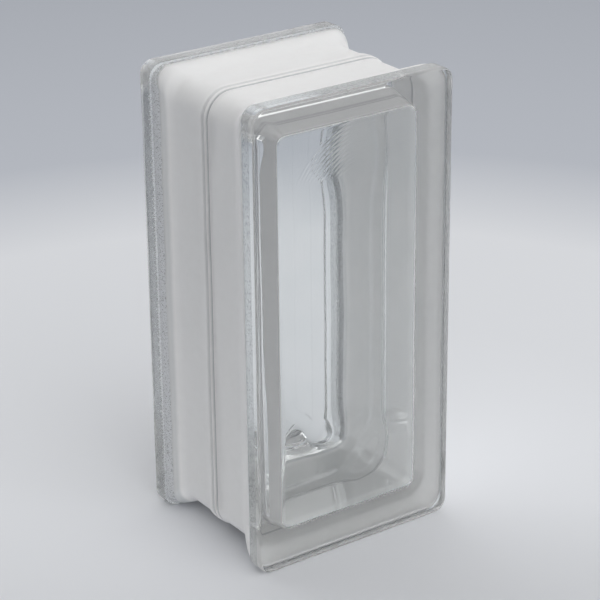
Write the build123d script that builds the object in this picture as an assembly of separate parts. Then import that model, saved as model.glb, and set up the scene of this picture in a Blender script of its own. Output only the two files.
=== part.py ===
from build123d import *
from math import cos, pi
import os

# A hollow glass block: two pressed glass halves fused at mid-depth, with a white coat on the edges.
# X runs across the block, Y through it with the front face at -Y, and Z up. The block stands on the
# rims of its two faces, and the origin is under its middle.

# Overall size
block_width = 95.25
block_height = 196.85
block_depth = 79.375

# The rim round each face
rim_thickness = 7.75
rim_lip = 0.6
rim_lip_bevel = 0.4
rim_corner_radius = 6.0
face_arris_radius = 1.0

# The groove for the mortar round the edges
groove_depth = 4.4
groove_floor_width = 39.0
groove_corner_radius = 10.5
flare_corner_radius = 7.0
flare_steps = 8

# The bead where the halves are fused, outside, where it falls away more slowly to the back, and inside
seam_bead_front_run = 4.5
seam_bead_back_run = 7.0
seam_bead_height = 1.0
inner_bead_width = 7.0
inner_bead_height = 1.5
bead_steps = 3

# The sealed space inside
face_thickness = 8.0
seam_wall = 6.0
cavity_draft = 7.6
cavity_corner_radius = 8.0
cavity_fillet_radius = 1.5

# The white coat in the groove, which stops short of the back rim
coat_thickness = 0.25
coat_back_edge = 11.5

half_depth = block_depth / 2
rim_start = half_depth - rim_thickness
cavity_inset = groove_depth + seam_wall
seam_plane = Plane(origin=(0, 0, block_height / 2), x_dir=(1, 0, 0), z_dir=(0, -1, 0))


def section(depth, inset, corner):
    """A rounded rectangle, inset from the block's outline, at a depth in front of the seam."""
    outline = RectangleRounded(block_width - 2 * inset, block_height - 2 * inset, corner)
    return seam_plane.offset(depth) * outline


def both_ways(front, back):
    """The stations in front of the seam joined to those behind it, which are given as if in front."""
    behind = [(-depth, inset, corner) for depth, inset, corner in reversed(back[1:])]
    return behind + front


def bead_stations(run, height, inset, corner):
    """One half of a rounded bead on a wall: depth, inset and corner radius from its crest to its foot."""
    stations = []
    for step in range(bead_steps + 1):
        share = step / bead_steps
        rise = height * (1 - share ** 2)
        stations.append((share * run, inset - rise, corner + rise))
    return stations


def flare_stations():
    """The side of one half as it swells in a slow S from the groove's floor out to the rim."""
    floor_half = groove_floor_width / 2
    stations = []
    for step in range(flare_steps + 1):
        share = step / flare_steps
        swell = (1 - cos(pi * share)) / 2
        depth = floor_half + (rim_start - floor_half) * share
        inset = groove_depth + (rim_lip - groove_depth) * swell
        corner = groove_corner_radius + (flare_corner_radius - groove_corner_radius) * swell
        stations.append((depth, inset, corner))
    return stations


def waist(growth):
    """The body between the rims, with the bead on its seam, grown outwards all round by a thickness."""
    flare = flare_stations()
    runs = (seam_bead_front_run, seam_bead_back_run)
    beads = [bead_stations(run, seam_bead_height, groove_depth, groove_corner_radius) for run in runs]
    stations = both_ways(*[bead + flare for bead in beads])
    sections = [section(depth, inset - growth, corner + growth) for depth, inset, corner in stations]
    return loft(sections, ruled=True)


def rim():
    """The plate of the front face, with a rounded arris and a small lip towards the groove."""
    plate = extrude(section(rim_start, 0, rim_corner_radius), rim_thickness)
    front = plate.faces().sort_by(Axis.Y)[0]
    plate = fillet(front.edges(), face_arris_radius)
    back = plate.faces().sort_by(Axis.Y)[-1]
    return chamfer(back.edges(), rim_lip_bevel)


def cavity_half():
    """The front half of the sealed space, drafted as the plunger that pressed it."""
    half_bead = inner_bead_width / 2
    length = half_depth - face_thickness - half_bead
    space = extrude(section(half_bead, cavity_inset, cavity_corner_radius), length, taper=cavity_draft)
    front = space.faces().sort_by(Axis.Y)[0]
    return fillet(front.edges(), cavity_fillet_radius)


def cavity():
    """The whole sealed space, pinched at the seam by the bead that fusing leaves inside."""
    bead = bead_stations(inner_bead_width / 2, -inner_bead_height, cavity_inset, cavity_corner_radius)
    pinch = loft([section(*station) for station in both_ways(bead, bead)], ruled=True)
    half = cavity_half()
    return half + pinch + mirror(half, about=Plane.XZ)


def glass_body():
    """The whole block of glass: both rims, the waist between them and the sealed space."""
    plate = rim()
    return plate + waist(0) + mirror(plate, about=Plane.XZ) - cavity()


def edge_coat():
    """The white coat: a thin skin on the groove, from the front rim to a little short of the back rim."""
    back_edge = half_depth - coat_back_edge
    length = rim_start + back_edge
    band = Box(block_width, length, block_height)
    band = Pos(0, back_edge - length / 2, block_height / 2) * band
    return (waist(coat_thickness) & band) - waist(0)


os.makedirs("parts", exist_ok=True)
export_step(glass_body(), "parts/glass_block.step")
export_step(edge_coat(), "parts/edge_coat.step")
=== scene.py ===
import math

import bpy
from mathutils import Matrix, Vector, noise


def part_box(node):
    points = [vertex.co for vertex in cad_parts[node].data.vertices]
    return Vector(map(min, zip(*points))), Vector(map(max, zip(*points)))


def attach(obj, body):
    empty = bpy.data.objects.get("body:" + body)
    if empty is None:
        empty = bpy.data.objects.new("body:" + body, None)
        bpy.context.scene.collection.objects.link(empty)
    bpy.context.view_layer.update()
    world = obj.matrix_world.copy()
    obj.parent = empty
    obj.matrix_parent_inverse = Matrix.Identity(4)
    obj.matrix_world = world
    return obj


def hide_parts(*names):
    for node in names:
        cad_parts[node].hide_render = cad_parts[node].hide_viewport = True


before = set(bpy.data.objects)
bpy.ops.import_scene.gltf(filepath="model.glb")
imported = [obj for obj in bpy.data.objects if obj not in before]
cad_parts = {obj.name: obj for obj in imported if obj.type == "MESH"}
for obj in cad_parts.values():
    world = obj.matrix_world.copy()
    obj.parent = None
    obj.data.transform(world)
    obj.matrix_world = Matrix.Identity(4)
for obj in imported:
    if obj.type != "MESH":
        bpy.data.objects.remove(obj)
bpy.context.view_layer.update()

mm = 0.001
scene = bpy.context.scene
scene.view_settings.view_transform = "Standard"
scene.cycles.max_bounces = 32  # light crosses up to eight glass surfaces on its way through
scene.cycles.transmission_bounces = 24
scene.cycles.glossy_bounces = 16
scene.cycles.diffuse_bounces = 6

blockLow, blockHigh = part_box("glass_block")
blockWidth = (blockHigh.x - blockLow.x) / mm
blockDepth = (blockHigh.y - blockLow.y) / mm
blockHeight = (blockHigh.z - blockLow.z) / mm
halfDepth = blockDepth / 2
print("frame loaded: block", round(blockWidth, 2), round(blockDepth, 2), round(blockHeight, 2))


def linear(hexColour):  # sRGB hex to the linear colour that shaders take
    parts = [int(hexColour[i:i + 2], 16) / 255 for i in (1, 3, 5)]
    return [c / 12.92 if c <= 0.04045 else ((c + 0.055) / 1.055) ** 2.4 for c in parts] + [1.0]


def addNode(tree, kind, settings=None, inputs=None):  # one node with its settings, values and links
    node = tree.nodes.new(kind)
    for name, value in (settings or {}).items():
        setattr(node, name, value)
    for name, value in (inputs or {}).items():
        if isinstance(value, bpy.types.NodeSocket):
            tree.links.new(value, node.inputs[name])
        else:
            node.inputs[name].default_value = value
    return node


def setRamp(node, stops):  # stops are (place, hex colour)
    ramp = node.color_ramp
    while len(ramp.elements) < len(stops):
        ramp.elements.new(0.5)
    for element, (place, colour) in zip(ramp.elements, stops):
        element.position = place
        element.color = linear(colour)


def newMaterial(name):
    material = bpy.data.materials.new(name)
    material.use_nodes = True
    tree = material.node_tree
    tree.nodes.clear()
    return material, tree


def perMetre(sizeInMm):  # texture scale whose features are this big
    return 1 / (sizeInMm * mm)


# outlines: every ring round the block has the same number of points

outline = {
    "across": 56,  # spans along the top and the bottom
    "along": 92,  # spans up each side
    "turn": 10,  # spans round each corner
    "readInset": 4.0,  # the unevenness of the outside is read on this ring, mm
    "readCorner": 10.0,
}
paneRows = outline["along"] + 2 * outline["turn"]


def planRing():  # for each point: its corner's centre in half widths and half heights, and the way out
    centres = [(1, 1), (1, -1), (-1, -1), (-1, 1)]
    spans = [outline["across"], outline["along"]] * 2
    plan = []
    for side, (cx, cz) in enumerate(centres):
        px, pz = centres[side - 1]
        facing = math.pi / 2 * (1 - side)
        for step in range(spans[side]):
            share = step / spans[side]
            plan.append((px + (cx - px) * share, pz + (cz - pz) * share,
                         math.cos(facing), math.sin(facing)))
        for step in range(outline["turn"]):
            angle = facing - math.pi / 2 * step / outline["turn"]
            plan.append((cx, cz, math.cos(angle), math.sin(angle)))
    return plan


ringPlan = planRing()
ringCount = len(ringPlan)
facingUp = [max(0, outZ) for _, _, _, outZ in ringPlan]  # how far each point of a ring faces up,
facingDown = [max(0, -outZ) for _, _, _, outZ in ringPlan]  # and down


def ringPoint(index, depth, inset, corner):  # depth is in front of the seam, all in millimetres
    cx, cz, outX, outZ = ringPlan[index]
    x = cx * (blockWidth / 2 - inset - corner) + outX * corner
    z = cz * (blockHeight / 2 - inset - corner) + outZ * corner
    return Vector((x, -depth, z + blockHeight / 2))


def readPoint(index):  # where the unevenness of the outside is read
    return ringPoint(index, 0, outline["readInset"], outline["readCorner"])


def bridge(first, second, flip):  # quads between two rings, given by their first vertex numbers
    faces = []
    for i in range(ringCount):
        j = (i + 1) % ringCount
        quad = [first + i, first + j, second + j, second + i]
        faces.append(quad[::-1] if flip else quad)
    return faces


def paneFaces(verts, ringStart, flip):  # a grid that fills a ring, adding its inner points to verts
    across = outline["across"]
    ends = [ringStart + step for step in (0, across, across + paneRows, 2 * across + paneRows)]
    topLeft, topRight, lowRight, lowLeft = [verts[end] for end in ends]
    rows = []
    for r in range(paneRows + 1):
        right = ringStart + across + r
        left = ringStart + (ringCount - r) % ringCount
        v = r / paneRows
        if r == 0:
            rows.append([ringStart + c for c in range(across + 1)])
        elif r == paneRows:
            rows.append([right + across - c for c in range(across + 1)])
        else:
            row = [left]
            for c in range(1, across):
                u = c / across
                up, down = verts[ringStart + c], verts[ends[3] - c]
                flat = topLeft.lerp(topRight, u).lerp(lowLeft.lerp(lowRight, u), v)
                verts.append(up.lerp(down, v) + verts[left].lerp(verts[right], u) - flat)
                row.append(len(verts) - 1)
            rows.append(row + [right])
    faces = []
    for upper, lower in zip(rows, rows[1:]):
        for c in range(across):
            quad = [upper[c], lower[c], lower[c + 1], upper[c + 1]]
            faces.append(quad[::-1] if flip else quad)
    return faces


def addPiece(name, verts, faces, slots, materials, node):
    mesh = bpy.data.meshes.new(name)
    mesh.from_pydata([v * mm for v in verts], [], faces)
    for material in materials:
        mesh.materials.append(material)
    mesh.polygons.foreach_set("material_index", slots)
    mesh.polygons.foreach_set("use_smooth", [True] * len(faces))
    mesh.validate()
    mesh.update()
    piece = bpy.data.objects.new(name, mesh)
    scene.collection.objects.link(piece)
    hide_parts(node)
    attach(piece, "root")
    print(name, len(verts), "points", len(faces), "faces")
    return piece


# materials

glassLook = {
    "tint": "#FDFEFE",  # soda-lime glass, a faint green in thick sections
    "tintDeep": "#FAFCFC",
    "ior": 1.52,
    "roughness": 0.0,
    "cordSize": 16.0,  # streaks left in the melt, mm across
    "cordDepth": 0.012,  # how far they bend the surface, mm
    "cordLow": 0.3,  # heights of the streaks' noise at which the tint is deepest
    "cordHigh": 0.7,  # and lightest
    "ringPlace": (10.0, -31.7, 143.0),  # middle of the chill rings inside the front pane, mm
    "ringPitch": 1.6,  # mm, drawn coarser than its 0.8 mm to show
    "ringDepth": 0.035,
    "ringNear": 21.0,  # they show between these distances from it,
    "ringFar": 40.0,
    "ringLow": 17.0,  # from this far above it,
    "ringFull": 23.0,  # clearly from here on,
    "ringSkin": 2.5,  # and on the inside only
}


def pressedGlass():  # clear soda-lime glass, fire-polished after pressing: slow ripples bend what is behind
    material, tree = newMaterial("pressedSodaLimeGlass")
    place = addNode(tree, "ShaderNodeTexCoord")
    cords = addNode(tree, "ShaderNodeTexNoise", inputs={
        "Vector": place.outputs["Object"], "Scale": perMetre(glassLook["cordSize"]), "Detail": 1.0})
    ramp = addNode(tree, "ShaderNodeValToRGB", inputs={"Fac": cords.outputs["Fac"]})
    setRamp(ramp, [(glassLook["cordLow"], glassLook["tintDeep"]),
                   (glassLook["cordHigh"], glassLook["tint"])])
    bump = addNode(tree, "ShaderNodeBump", inputs={
        "Height": cords.outputs["Fac"], "Strength": 1.0, "Distance": glassLook["cordDepth"] * mm})
    offset = addNode(tree, "ShaderNodeVectorMath", {"operation": "SUBTRACT"}, {
        0: place.outputs["Object"], 1: [value * mm for value in glassLook["ringPlace"]]})
    ringScale = math.pi / 10 * perMetre(glassLook["ringPitch"])  # at scale 1, a wave is pi / 10 long
    rings = addNode(tree, "ShaderNodeTexWave", {"wave_type": "RINGS", "rings_direction": "SPHERICAL"}, {
        "Vector": offset.outputs["Vector"], "Scale": ringScale})
    away = addNode(tree, "ShaderNodeVectorMath", {"operation": "LENGTH"}, {0: offset.outputs["Vector"]})
    near, far = glassLook["ringNear"] * mm, glassLook["ringFar"] * mm
    band = addNode(tree, "ShaderNodeMath", {"operation": "COMPARE"}, {
        0: away.outputs["Value"], 1: (near + far) / 2, 2: (far - near) / 2})
    parts = addNode(tree, "ShaderNodeSeparateXYZ", inputs={0: offset.outputs["Vector"]})
    high = addNode(tree, "ShaderNodeMapRange", inputs={
        "Value": parts.outputs["Z"],
        "From Min": glassLook["ringLow"] * mm, "From Max": glassLook["ringFull"] * mm})
    inside = addNode(tree, "ShaderNodeMath", {"operation": "COMPARE"}, {
        0: parts.outputs["Y"], 1: 0.0, 2: glassLook["ringSkin"] * mm})
    shown = addNode(tree, "ShaderNodeMath", {"operation": "MULTIPLY"}, {
        0: band.outputs["Value"], 1: high.outputs["Result"]})
    shown = addNode(tree, "ShaderNodeMath", {"operation": "MULTIPLY"}, {
        0: shown.outputs["Value"], 1: inside.outputs["Value"]})
    chill = addNode(tree, "ShaderNodeBump", inputs={
        "Height": rings.outputs["Fac"], "Strength": shown.outputs["Value"],
        "Distance": glassLook["ringDepth"] * mm, "Normal": bump.outputs["Normal"]})
    shader = addNode(tree, "ShaderNodeBsdfPrincipled", inputs={
        "Base Color": ramp.outputs["Color"], "Roughness": glassLook["roughness"], "IOR": glassLook["ior"],
        "Transmission Weight": 1.0, "Normal": chill.outputs["Normal"]})
    addNode(tree, "ShaderNodeOutputMaterial", inputs={"Surface": shader.outputs["BSDF"]})
    return material


rimLook = {
    "tint": "#DEE1E2",
    "pit": "#AAAEB0",
    "spray": "#CFD1D4",
    "roughness": 0.22,
    "clear": 0.85,  # how much light goes through between the specks
    "grainSize": 0.6,  # the mould's grain is about 0.3 mm, drawn coarser to show
    "grainDepth": 0.025,
    "pitSize": 0.8,
    "pitLow": 0.36,  # heights of the pits' noise at which the glass is darkest
    "pitHigh": 0.47,  # and clean
    "speckSize": 0.5,
    "speckFrom": 31.0,  # mm from the seam, where the specks start to get rare
    "speckTo": 34.0,  # and where they are rarest
    "speckNear": 0.38,  # specks start at this height of the noise by the groove,
    "speckFar": 0.70,  # and at this one by the face
    "speckTopLess": 0.16,  # and this much higher on the top
    "speckFoot": -0.06,  # a speck fades in from this much below that height
    "speckCrown": 0.10,  # to this much above it
}


def grainedRim():  # the rim's edge as it left the mould: fine pits, and specks of stray white spray
    material, tree = newMaterial("mouldGrainedGlassRim")
    place = addNode(tree, "ShaderNodeTexCoord")
    parts = addNode(tree, "ShaderNodeSeparateXYZ", inputs={0: place.outputs["Object"]})
    grain = addNode(tree, "ShaderNodeTexNoise", inputs={
        "Vector": place.outputs["Object"], "Scale": perMetre(rimLook["grainSize"]), "Detail": 3.0})
    pits = addNode(tree, "ShaderNodeTexNoise", inputs={
        "Vector": place.outputs["Object"], "Scale": perMetre(rimLook["pitSize"]), "Detail": 2.0})
    ramp = addNode(tree, "ShaderNodeValToRGB", inputs={"Fac": pits.outputs["Fac"]})
    setRamp(ramp, [(rimLook["pitLow"], rimLook["pit"]), (rimLook["pitHigh"], rimLook["tint"])])
    outward = addNode(tree, "ShaderNodeMath", {"operation": "ABSOLUTE"}, {0: parts.outputs["Y"]})
    level = addNode(tree, "ShaderNodeMapRange", inputs={
        "Value": outward.outputs["Value"],
        "From Min": rimLook["speckFrom"] * mm, "From Max": rimLook["speckTo"] * mm,
        "To Min": rimLook["speckNear"], "To Max": rimLook["speckFar"]})
    facing = addNode(tree, "ShaderNodeSeparateXYZ", inputs={0: place.outputs["Normal"]})
    upward = addNode(tree, "ShaderNodeMapRange", inputs={
        "Value": facing.outputs["Z"], "To Max": rimLook["speckTopLess"]})
    raised = addNode(tree, "ShaderNodeMath", {"operation": "ADD"}, {
        0: level.outputs["Result"], 1: upward.outputs["Result"]})
    drops = addNode(tree, "ShaderNodeTexNoise", inputs={
        "Vector": place.outputs["Object"], "Scale": perMetre(rimLook["speckSize"]), "Detail": 2.0})
    above = addNode(tree, "ShaderNodeMath", {"operation": "SUBTRACT"}, {
        0: drops.outputs["Fac"], 1: raised.outputs["Value"]})
    specks = addNode(tree, "ShaderNodeMapRange", inputs={
        "Value": above.outputs["Value"],
        "From Min": rimLook["speckFoot"], "From Max": rimLook["speckCrown"]})
    colour = addNode(tree, "ShaderNodeMix", {"data_type": "RGBA"}, {
        0: specks.outputs["Result"], 6: ramp.outputs["Color"], 7: linear(rimLook["spray"])})
    clear = addNode(tree, "ShaderNodeMapRange", inputs={
        "Value": specks.outputs["Result"], "To Min": rimLook["clear"], "To Max": 0.0})
    bump = addNode(tree, "ShaderNodeBump", inputs={
        "Height": grain.outputs["Fac"], "Strength": 1.0, "Distance": rimLook["grainDepth"] * mm})
    shader = addNode(tree, "ShaderNodeBsdfPrincipled", inputs={
        "Base Color": colour.outputs[2], "Roughness": rimLook["roughness"], "IOR": glassLook["ior"],
        "Transmission Weight": clear.outputs["Result"], "Normal": bump.outputs["Normal"]})
    addNode(tree, "ShaderNodeOutputMaterial", inputs={"Surface": shader.outputs["BSDF"]})
    return material


coatLook = {
    "white": "#FDFCFB",
    "whiteThin": "#FAF9F8",
    "paintedCreaseShade": "#B9BABD",  # painted shade in the bottom of the seam's furrows
    "sheerAndShade": "#BFC3C5",  # where the coat thins out to its edge, greyed further by painted shade
    "roughness": 0.62,
    "lightReach": 1.0,  # how far light travels in it, mm
    "mottleSize": 5.0,  # mm
    "mottleLow": 0.35,  # heights of the mottle's noise at which the coat is thinnest
    "mottleHigh": 0.62,  # and full
    "grainSize": 0.7,  # the sprayed grain, drawn coarser than its 0.2 mm to show
    "grainDepth": 0.03,
}


def sprayedCoat():  # white vinyl edge coating, sprayed on: matt, with a fine orange-peel grain
    material, tree = newMaterial("sprayedVinylCoating")
    place = addNode(tree, "ShaderNodeTexCoord")
    mottle = addNode(tree, "ShaderNodeTexNoise", inputs={
        "Vector": place.outputs["Object"], "Scale": perMetre(coatLook["mottleSize"]), "Detail": 4.0})
    ramp = addNode(tree, "ShaderNodeValToRGB", inputs={"Fac": mottle.outputs["Fac"]})
    setRamp(ramp, [(coatLook["mottleLow"], coatLook["whiteThin"]),
                   (coatLook["mottleHigh"], coatLook["white"])])
    colour = ramp.outputs["Color"]
    # painted shade: darker in the seam's furrows, and greyer at the coat's back edge where it thins
    for name in ("paintedCreaseShade", "sheerAndShade"):
        amount = addNode(tree, "ShaderNodeAttribute", {"attribute_name": name})
        colour = addNode(tree, "ShaderNodeMix", {"data_type": "RGBA"}, {
            0: amount.outputs["Fac"], 6: colour, 7: linear(coatLook[name])}).outputs[2]
    grain = addNode(tree, "ShaderNodeTexNoise", inputs={
        "Vector": place.outputs["Object"], "Scale": perMetre(coatLook["grainSize"]), "Detail": 2.0})
    bump = addNode(tree, "ShaderNodeBump", inputs={
        "Height": grain.outputs["Fac"], "Strength": 1.0, "Distance": coatLook["grainDepth"] * mm})
    shader = addNode(tree, "ShaderNodeBsdfPrincipled", inputs={
        "Base Color": colour, "Roughness": coatLook["roughness"],
        "Subsurface Weight": 1.0, "Subsurface Radius": (1.0, 1.0, 1.0),
        "Subsurface Scale": coatLook["lightReach"] * mm, "Normal": bump.outputs["Normal"]})
    addNode(tree, "ShaderNodeOutputMaterial", inputs={"Surface": shader.outputs["BSDF"]})
    return material


# the pressed glass: two halves fused at mid-depth, hollow inside

glass = {  # millimetres
    "rimThickness": 7.75,
    "rimLip": 0.6,
    "lipBevel": 0.4,
    "rimCorner": 6.0,
    "arris": 1.0,
    "grooveDepth": 4.4,
    "grooveFloor": 39.0,
    "grooveCorner": 10.5,
    "flareCorner": 7.0,
    "beadFront": 4.5,
    "beadBack": 7.0,
    "beadHeight": 1.0,
    "seamCuts": [(0.3, 1.3, 0.45), (2.8, 0.6, 0.75)],  # furrows along the bead: place, half width, depth
    "seamEnd": 1.5,  # behind the seam, they have ended here
    "seamTopFill": 0.6,  # on the top they are filled by this much of their depth
    "seamWander": 0.4,  # the bead strays this far from a straight line
    "seamWanderSize": 45.0,
    "seamHold": 9.0,  # and the straying dies out this far from it
    "faceThickness": 8.0,
    "wall": 6.0,
    "draft": 7.6,  # degrees
    "cavityCorner": 8.0,
    "cavityFillet": 1.5,
    "filletWander": 0.5,  # the fillet inside is nowhere quite even
    "filletWanderSize": 24.0,
    "filletReadCorner": 4.0,  # corner of the ring on which that is read
    "lumps": [  # half, x, height and reach each way of glass heaped on its floor, or missing there
        (-1, 17.2, 6.0, 5.0, 7.0), (-1, 28.0, -5.0, 6.0, 14.0)],
    "lumpFade": 3,  # how fast a lump runs out along the floor
    "innerBeadWidth": 7.0,
    "innerBeadHeight": 1.5,
    "innerBeadHold": 0.97,  # a ring just inside the bead's foot keeps its crease
    "paneHold": 0.5,  # a ring just inside each flat pane keeps it flat under smooth shading
    "waveSize": 34.0,  # slow ripples of the whole inside
    "waveDepth": 0.12,
    "thickSpots": [  # half, x, z, reach and height of slow swellings of a pane
        (1, 4.0, 168.0, 12.0, 1.0), (1, -12.0, 52.0, 7.0, 0.25),
        (1, 4.0, 34.0, 6.0, 0.8), (1, 11.0, 42.0, 6.0, 0.8)],
    "spotHold": 8,  # how fast they die out away from it
    "bareFrom": 26.0,  # behind the seam, the sides are bare and grained from here on
}
glassSpans = {  # spans of the mesh along each stretch of the section
    "arris": 10,
    "rim": 4,
    "bevel": 3,
    "flare": 16,
    "front": 15,  # groove's floor in front of the bead
    "paintedCreaseShades": 24,
    "bead": 8,  # its long back, behind the furrows
    "back": 3,
    "fillet": 10,
    "wall": 10,
    "innerBead": 6,
}
rimStart = halfDepth - glass["rimThickness"]
floorHalf = glass["grooveFloor"] / 2


def furrowAt(depth):  # how deep the seam's furrows are at a depth
    deepest = 0.0
    for at, half, deep in glass["seamCuts"]:
        if abs(depth - at) < half:
            deepest = deep * (1 - ((depth - at) / half) ** 4) ** 2
    return deepest


def waistAt(depth):  # inset and corner radius of the waist at a depth
    run = glass["beadFront"] if depth > 0 else glass["beadBack"]
    rise = max(0, glass["beadHeight"] * (1 - (depth / run) ** 2))
    rise -= furrowAt(depth)
    swell = 0.0
    if abs(depth) > floorHalf:
        swell = (1 - math.cos(math.pi * (abs(depth) - floorHalf) / (rimStart - floorHalf))) / 2
    inset = glass["grooveDepth"] + (glass["rimLip"] - glass["grooveDepth"]) * swell
    corner = glass["grooveCorner"] + (glass["flareCorner"] - glass["grooveCorner"]) * swell
    return inset - rise, corner + rise


def seamShift(index):  # how far the bead has strayed at a point of the ring
    return glass["seamWander"] * noise.noise(readPoint(index) / glass["seamWanderSize"])


seamShifts = [seamShift(index) for index in range(ringCount)]


def spread(start, end, steps):
    return [start + (end - start) * step / steps for step in range(steps + 1)]


def waistDepths():  # from the front rim to the back rim
    stretches = [
        (floorHalf, "flare"), (glass["beadFront"], "front"), (-glass["seamEnd"], "paintedCreaseShades"),
        (-glass["beadBack"], "bead"), (-floorHalf, "back"), (-rimStart, "flare")]
    start = rimStart
    depths = [start]
    for end, stretch in stretches:
        depths += spread(start, end, glassSpans[stretch])[1:]
        start = end
    return depths


def waistRing(depth, lifts):  # one ring of the waist, lifted off it point by point
    inset, corner = waistAt(depth)
    hold = max(0, 1 - (depth / glass["seamHold"]) ** 2)
    fill = furrowAt(depth) * glass["seamTopFill"]
    lifts = [lift + fill * up for lift, up in zip(lifts, facingUp)]
    return [ringPoint(i, depth + seamShifts[i] * hold, inset - lifts[i], corner + lifts[i])
            for i in range(ringCount)]


def rimRings():  # (points, grained) from the front pane to the front rim's lip
    arris, bevel, corner = glass["arris"], glass["lipBevel"], glass["rimCorner"]
    hold = glass["paneHold"]
    stations = [(halfDepth, arris + hold, False)]
    for turn in spread(0, math.pi / 2, glassSpans["arris"]):
        stations.append((halfDepth - arris * (1 - math.cos(turn)), arris * (1 - math.sin(turn)), False))
    for depth in spread(halfDepth - arris, rimStart + bevel, glassSpans["rim"])[1:]:
        stations.append((depth, 0, True))
    for turn in spread(0, math.pi / 2, glassSpans["bevel"])[1:]:
        stations.append((rimStart + bevel * (1 - math.sin(turn)), bevel * (1 - math.cos(turn)), True))
    return [([ringPoint(i, depth, inset, corner - inset) for i in range(ringCount)], grained)
            for depth, inset, grained in stations]


def mirrored(rings):  # the same rings behind the seam
    return [([Vector((p.x, -p.y, p.z)) for p in points], grained) for points, grained in reversed(rings)]


def outerRings():
    front = rimRings()
    bare = [0.0] * ringCount
    sides = [(waistRing(depth, bare), depth <= -glass["bareFrom"]) for depth in waistDepths()]
    return front + sides + mirrored(front)


def lumpAt(index, half):  # how high the glass is heaped on the cavity's floor at a point of the ring
    x = ringPoint(index, 0, glass["grooveDepth"] + glass["wall"], glass["cavityCorner"]).x
    high = 0.0
    for lumpHalf, middle, height, left, right in glass["lumps"]:
        if lumpHalf == half:
            high += height * math.exp(-((x - middle) / (left if x < middle else right)) ** 2)
    return high * facingDown[index]


def innerRings(half):  # from one pane's inside to the seam; half is 1 in front and -1 behind
    fillet, slope = glass["cavityFillet"], math.tan(math.radians(glass["draft"]))
    halfBead = glass["innerBeadWidth"] / 2
    paneDepth = halfDepth - glass["faceThickness"]
    cavityInset = glass["grooveDepth"] + glass["wall"]
    edge = cavityInset + (paneDepth - fillet - halfBead) * slope + fillet
    edgePoints = [ringPoint(i, half * halfDepth, edge, glass["filletReadCorner"])
                  for i in range(ringCount)]
    radii = [fillet + glass["filletWander"] * noise.noise(point / glass["filletWanderSize"])
             for point in edgePoints]
    lumps = [lumpAt(i, half) for i in range(ringCount)]
    rings = []

    def addRing(place):  # place gives depth and inset for a fillet radius
        points = []
        for i, radius in enumerate(radii):
            depth, inset = place(radius)
            inset += lumps[i] * (depth / paneDepth) ** glass["lumpFade"]
            points.append(ringPoint(i, half * depth, inset, glass["cavityCorner"] + cavityInset - inset))
        rings.append((points, False))

    def wallInset(depth):
        return cavityInset + (depth - halfBead) * slope

    def onWall(depth):
        return depth, wallInset(depth)

    addRing(lambda r: (paneDepth, wallInset(paneDepth - r) + r + glass["paneHold"]))
    for turn in spread(math.pi / 2, 0, glassSpans["fillet"]):
        addRing(lambda r: (paneDepth - r + r * math.sin(turn),
                           wallInset(paneDepth - r) + r * (1 - math.cos(turn))))
    for share in spread(1, 0, glassSpans["wall"])[1:]:
        addRing(lambda r: onWall(halfBead + (paneDepth - r - halfBead) * share))
    for share in [glass["innerBeadHold"]] + spread(1, 0, glassSpans["innerBead"])[1:]:
        addRing(lambda r: (halfBead * share, cavityInset + glass["innerBeadHeight"] * (1 - share ** 2)))
    return rings


def shell(verts, faces, slots, rings, flip):  # rings down the depth, closed by a pane at each end
    starts = []
    for points, grained in rings:
        starts.append(len(verts))
        verts.extend(points)
    for index in range(len(starts) - 1):
        made = bridge(starts[index], starts[index + 1], flip)
        grained = rings[index][1] and rings[index + 1][1]
        faces.extend(made)
        slots.extend([1 if grained else 0] * len(made))
    for start, turned in ((starts[0], flip), (starts[-1], not flip)):
        made = paneFaces(verts, start, turned)
        faces.extend(made)
        slots.extend([0] * len(made))


def ripple(point):  # the slow unevenness of a pressed inner surface
    waves = noise.noise(point / glass["waveSize"]) * glass["waveDepth"]
    middle = Vector((0, 0, blockHeight / 2))
    shift = (point - middle).normalized() * waves
    for half, x, z, reach, height in glass["thickSpots"]:
        near = math.exp(-((point.x - x) ** 2 + (point.z - z) ** 2) / reach ** 2)
        toPane = max(0, -half * point.y / (halfDepth - glass["faceThickness"]))
        shift.y += half * height * near * toPane ** glass["spotHold"]
    return point + shift


def makeGlass():
    verts, faces, slots = [], [], []
    shell(verts, faces, slots, outerRings(), False)
    outside = len(verts)
    behind = innerRings(-1)[-2::-1]  # the ring at the seam is in both halves
    shell(verts, faces, slots, innerRings(1) + behind, True)
    verts[outside:] = [ripple(v) for v in verts[outside:]]
    addPiece("glassBlock", verts, faces, slots, [pressedGlass(), grainedRim()],
             "glass_block")


makeGlass()

# the white coat in the groove

coat = {  # millimetres
    "thickness": 0.25,
    "sunk": 0.05,  # its inner face lies this far in the glass, as paint that wets it,
    "sunkBelow": 1.0,  # and further underneath, so that no light goes down through it
    "backEdge": 11.5,  # from the back face to the coat's edge
    "topReach": 2.6,  # on the top it goes this much further back
    "edgeWander": 0.5,  # how far that edge strays
    "edgeWanderSize": 12.0,
    "wanderFrom": 21.0,  # behind the seam, the coat's rings follow its uneven edge from here on
    "edgeSpans": 10,  # spans of the mesh there
    "feather": 3.0,  # it thins out over this much,
    "edgeThickness": 0.08,  # to this
    "sheerAndShadeFrom": 0.45,  # the part of that stretch after which the coat greys,
    "sheerAndShadeRun": 0.2,  # and the part over which it does
    "sheerAndShadeSide": 0.7,  # how grey it gets on the sides, thin coat and painted shade together,
    "sheerAndShadeTopLess": 0.65,  # and how much less on the top, which faces the light
    "gap": 0.06,  # up the sides the spray bridges a hair of air along the bead, which mirrors inside
    "gapBack": 1.0,  # from this far behind the seam,
    "gapLeft": [  # to this far in front of it: (height up the block, reach)
        (0, 7.6), (40, 7.9), (110, 5.4), (162, 5.4), (174, 9.0), (197, 9.4)],
    "gapRight": [(0, 6.0), (140, 5.0), (160, 0.0)],
    "gapRun": 1.0,  # it opens over this much,
    "gapTurn": 0.1,  # and it ends where the sides turn into the corners
}


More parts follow.
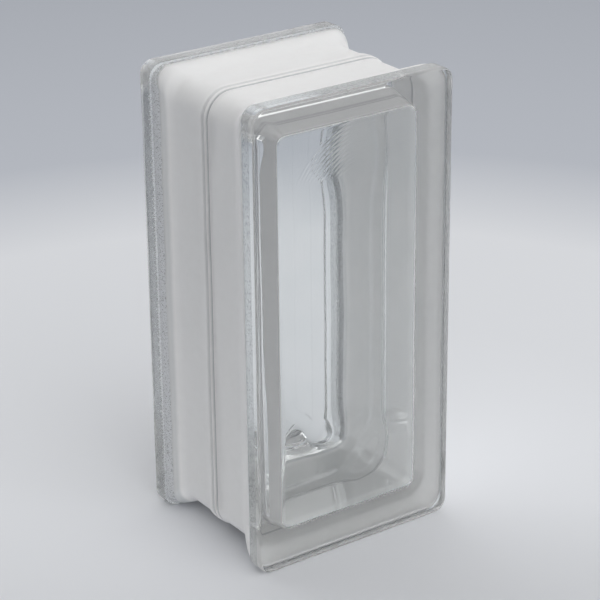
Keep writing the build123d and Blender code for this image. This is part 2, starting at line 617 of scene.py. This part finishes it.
def gapShare(index, depth):  # how much of the gap there is at a point
    _, _, outX, _ = ringPlan[index]
    z = ringPoint(index, 0, glass["grooveDepth"], glass["grooveCorner"]).z
    reach = 0.0
    reaches = coat["gapLeft"] if outX < 0 else coat["gapRight"]
    for (low, atLow), (high, atHigh) in zip(reaches, reaches[1:]):
        if low <= z < high:
            share = (z - low) / (high - low)
            reach = atLow + (atHigh - atLow) * share * share * (3 - 2 * share)
    onSide = 1 - (1 - abs(outX)) / coat["gapTurn"]
    run = coat["gapRun"]
    return max(0, min(1, (reach - depth) / run, (depth + coat["gapBack"]) / run, onSide))


def makeCoat():
    backEdge = halfDepth - coat["backEdge"]
    start = coat["wanderFrom"]
    stray = [coat["edgeWander"] * (noise.noise(readPoint(i) / coat["edgeWanderSize"]) - 1)
             for i in range(ringCount)]
    sunks = [coat["sunk"] + coat["sunkBelow"] * down for down in facingDown]
    deepest = max(cut[2] for cut in glass["seamCuts"])
    outer, inner, paintedCreaseShades, sheerAndShades = [], [], [], []
    for depth in [d for d in waistDepths() if d > -start]:
        outer.append(waistRing(depth, [coat["thickness"]] * ringCount))
        gaps = [gapShare(i, depth) for i in range(ringCount)]
        lifts = [(coat["gap"] + sunk) * gap - sunk for sunk, gap in zip(sunks, gaps)]
        inner.append(waistRing(depth, lifts))
        # painted shade in the furrows, darkest where they are deepest
        paintedCreaseShades.append([furrowAt(depth) / deepest] * ringCount)
        sheerAndShades.append([0.0] * ringCount)
    for share in spread(0, 1, coat["edgeSpans"]):
        paintedCreaseShades.append([0.0] * ringCount)
        # painted shade with the thin coat's grey: the coat greys towards its back edge, more on the sides
        # than on the top
        thinAndShade = min(1, max(0, (share - coat["sheerAndShadeFrom"]) / coat["sheerAndShadeRun"]))
        sheerAndShades.append([thinAndShade * (coat["sheerAndShadeSide"] - coat["sheerAndShadeTopLess"] * up) for up in facingUp])
        outerRing, innerRing = [], []
        for i in range(ringCount):
            depth = -start - (backEdge + stray[i] - start) * share
            depth -= coat["topReach"] * facingUp[i] * share
            inset, corner = waistAt(depth)
            toEdge = min(1, (1 - share) * (backEdge - start) / coat["feather"])
            lift = coat["edgeThickness"] + (coat["thickness"] - coat["edgeThickness"]) * toEdge
            outerRing.append(ringPoint(i, depth, inset - lift, corner + lift))
            innerRing.append(ringPoint(i, depth, inset + sunks[i], corner - sunks[i]))
        outer.append(outerRing)
        inner.append(innerRing)
    rings = outer + inner[::-1]
    verts = [point for ring in rings for point in ring]
    faces = []
    for index in range(len(rings)):
        following = (index + 1) % len(rings)
        faces.extend(bridge(index * ringCount, following * ringCount, False))
    piece = addPiece("edgeCoat", verts, faces, [0] * len(faces), [sprayedCoat()],
                     "edge_coat")
    # the painted shade of the furrows and of the back edge, kept per point
    for name, levels in (("paintedCreaseShade", paintedCreaseShades), ("sheerAndShade", sheerAndShades)):
        values = [value for level in levels + levels[::-1] for value in level]
        piece.data.attributes.new(name, "FLOAT", "POINT").data.foreach_set("value", values)


makeCoat()

# stage, light and camera

lens = {
    "focal": 136.05,  # mm
    "sensor": 36.0,  # mm
    "nearest": 0.01,  # metres, where the view starts
    "aim": (0.0, -1.4, 95.8),  # mm
    "distance": 928.4,  # mm
    "heading": 35.05,  # degrees from square on, towards the block's left
    "tilt": 23.56,  # degrees down
    "roll": -0.64,
}

stage = {
    "radius": 6.0,  # metres
    "drop": 0.0001,  # the floor lies this far under the block
    "roughness": 0.8,
    "specular": 0.1,
    "near": 0.79,  # painted shade: in front of the block the paper is darkened to this much of its colour,
    "nearSide": 35.05,  # most of all on this side, degrees from square on
    # painted light and shade: a pale pool round the block that falls off into shade, darker still far off
    "pale": "#E3E5E9",
    "shade": "#BFC3CB",
    "far": "#ACB0B8",
    "nearTo": 0.16,  # metres from the block
    "paleTo": 0.32,
    "shadeFrom": 0.45,
    "farFrom": 0.95,
    "lift": 0.5,  # the share of its look, away from the block, that the shadows don't reach
    "liftFrom": 0.07,
    "liftTo": 0.20,
    "liftLevel": 0.82,
    "lights": [((0.0, -0.93, 0.37), 2.65), ((0.0, 0.93, 0.37), 1.82), ((0.707, 0.0, 0.707), 0.62)],
    "lightColour": "#FFFFFF",
    "narrowing": 4.0,  # how fast each light falls off from its middle
    "overhead": 0.2,
    "backdrop": "#D2D5DA",
}


def makeFloor():
    material, tree = newMaterial("paleStudioPaper")
    place = addNode(tree, "ShaderNodeTexCoord")
    reach = addNode(tree, "ShaderNodeVectorMath", {"operation": "LENGTH"}, {0: place.outputs["Object"]})
    # painted pool of light round the block, falling off into painted shade further away
    ramp = addNode(tree, "ShaderNodeValToRGB", inputs={"Fac": reach.outputs["Value"]})
    setRamp(ramp, [(stage["paleTo"], stage["pale"]), (stage["shadeFrom"], stage["shade"]),
                   (stage["farFrom"], stage["far"])])
    # painted shade on the floor in front of the block, deepest on the near side
    side = math.radians(stage["nearSide"])
    ahead = addNode(tree, "ShaderNodeVectorMath", {"operation": "DOT_PRODUCT"}, {
        0: place.outputs["Object"], 1: (-math.sin(side), -math.cos(side), 0.0)})
    near = addNode(tree, "ShaderNodeMapRange", inputs={
        "Value": ahead.outputs["Value"], "From Max": stage["nearTo"],
        "To Min": 1.0, "To Max": stage["near"]})
    colour = addNode(tree, "ShaderNodeVectorMath", {"operation": "SCALE"}, {
        0: ramp.outputs["Color"], "Scale": near.outputs["Result"]})
    shader = addNode(tree, "ShaderNodeBsdfPrincipled", inputs={
        "Base Color": colour.outputs["Vector"], "Roughness": stage["roughness"],
        "Specular IOR Level": stage["specular"]})
    lift = addNode(tree, "ShaderNodeEmission", inputs={
        "Color": colour.outputs["Vector"], "Strength": stage["liftLevel"]})
    path = addNode(tree, "ShaderNodeLightPath")
    seen = addNode(tree, "ShaderNodeMath", {"operation": "MAXIMUM"}, {
        0: path.outputs["Is Camera Ray"], 1: path.outputs["Is Transmission Ray"]})
    seen = addNode(tree, "ShaderNodeMath", {"operation": "MAXIMUM"}, {
        0: seen.outputs["Value"], 1: path.outputs["Is Glossy Ray"]})
    away = addNode(tree, "ShaderNodeMapRange", inputs={
        "Value": reach.outputs["Value"], "From Min": stage["liftFrom"], "From Max": stage["liftTo"],
        "To Max": stage["lift"]})
    amount = addNode(tree, "ShaderNodeMath", {"operation": "MULTIPLY"}, {
        0: seen.outputs["Value"], 1: away.outputs["Result"]})
    both = addNode(tree, "ShaderNodeMixShader", inputs={
        0: amount.outputs["Value"], 1: shader.outputs["BSDF"], 2: lift.outputs["Emission"]})
    addNode(tree, "ShaderNodeOutputMaterial", inputs={"Surface": both.outputs["Shader"]})
    size, drop = stage["radius"], stage["drop"]
    corners = [(-size, -size, -drop), (size, -size, -drop), (size, size, -drop), (-size, size, -drop)]
    mesh = bpy.data.meshes.new("studioFloor")
    mesh.from_pydata(corners, [], [(0, 1, 2, 3)])
    mesh.materials.append(material)
    floor = bpy.data.objects.new("studioFloor", mesh)
    scene.collection.objects.link(floor)


def makeSky():  # broad soft lights low in front and behind, and one high on the right
    world = bpy.data.worlds.new("softStudio")
    scene.world = world
    world.use_nodes = True
    tree = world.node_tree
    tree.nodes.clear()
    place = addNode(tree, "ShaderNodeTexCoord")
    parts = addNode(tree, "ShaderNodeSeparateXYZ", inputs={0: place.outputs["Generated"]})
    total = addNode(tree, "ShaderNodeMath", {"operation": "MULTIPLY", "use_clamp": True}, {
        0: parts.outputs["Z"], 1: stage["overhead"]})
    for toward, strength in stage["lights"]:
        dot = addNode(tree, "ShaderNodeVectorMath", {"operation": "DOT_PRODUCT"}, {
            0: place.outputs["Generated"], 1: toward})
        ahead = addNode(tree, "ShaderNodeMath", {"operation": "MAXIMUM"}, {0: dot.outputs["Value"], 1: 0.0})
        pool = addNode(tree, "ShaderNodeMath", {"operation": "POWER"}, {
            0: ahead.outputs["Value"], 1: stage["narrowing"]})
        total = addNode(tree, "ShaderNodeMath", {"operation": "MULTIPLY_ADD"}, {
            0: pool.outputs["Value"], 1: strength, 2: total.outputs["Value"]})
    lights = addNode(tree, "ShaderNodeBackground", inputs={
        "Color": linear(stage["lightColour"]), "Strength": total.outputs["Value"]})
    backdrop = addNode(tree, "ShaderNodeBackground", inputs={"Color": linear(stage["backdrop"])})
    path = addNode(tree, "ShaderNodeLightPath")
    both = addNode(tree, "ShaderNodeMixShader", inputs={
        0: path.outputs["Is Camera Ray"], 1: lights.outputs[0], 2: backdrop.outputs[0]})
    addNode(tree, "ShaderNodeOutputWorld", inputs={"Surface": both.outputs[0]})


def makeCamera():
    turn = (Matrix.Rotation(math.radians(-lens["heading"]), 4, "Z")
            @ Matrix.Rotation(math.radians(90 - lens["tilt"]), 4, "X")
            @ Matrix.Rotation(math.radians(lens["roll"]), 4, "Z"))
    data = bpy.data.cameras.new("photoView")
    data.lens = lens["focal"]
    data.sensor_width = lens["sensor"]
    data.clip_start = lens["nearest"]
    camera = bpy.data.objects.new("photoView", data)
    scene.collection.objects.link(camera)
    back = turn @ Vector((0, 0, 1))
    place = Vector(lens["aim"]) + back * lens["distance"]
    camera.matrix_world = Matrix.Translation(place * mm) @ turn
    scene.camera = camera


makeFloor()
makeSky()
makeCamera()
print("stage, sky and camera ready")
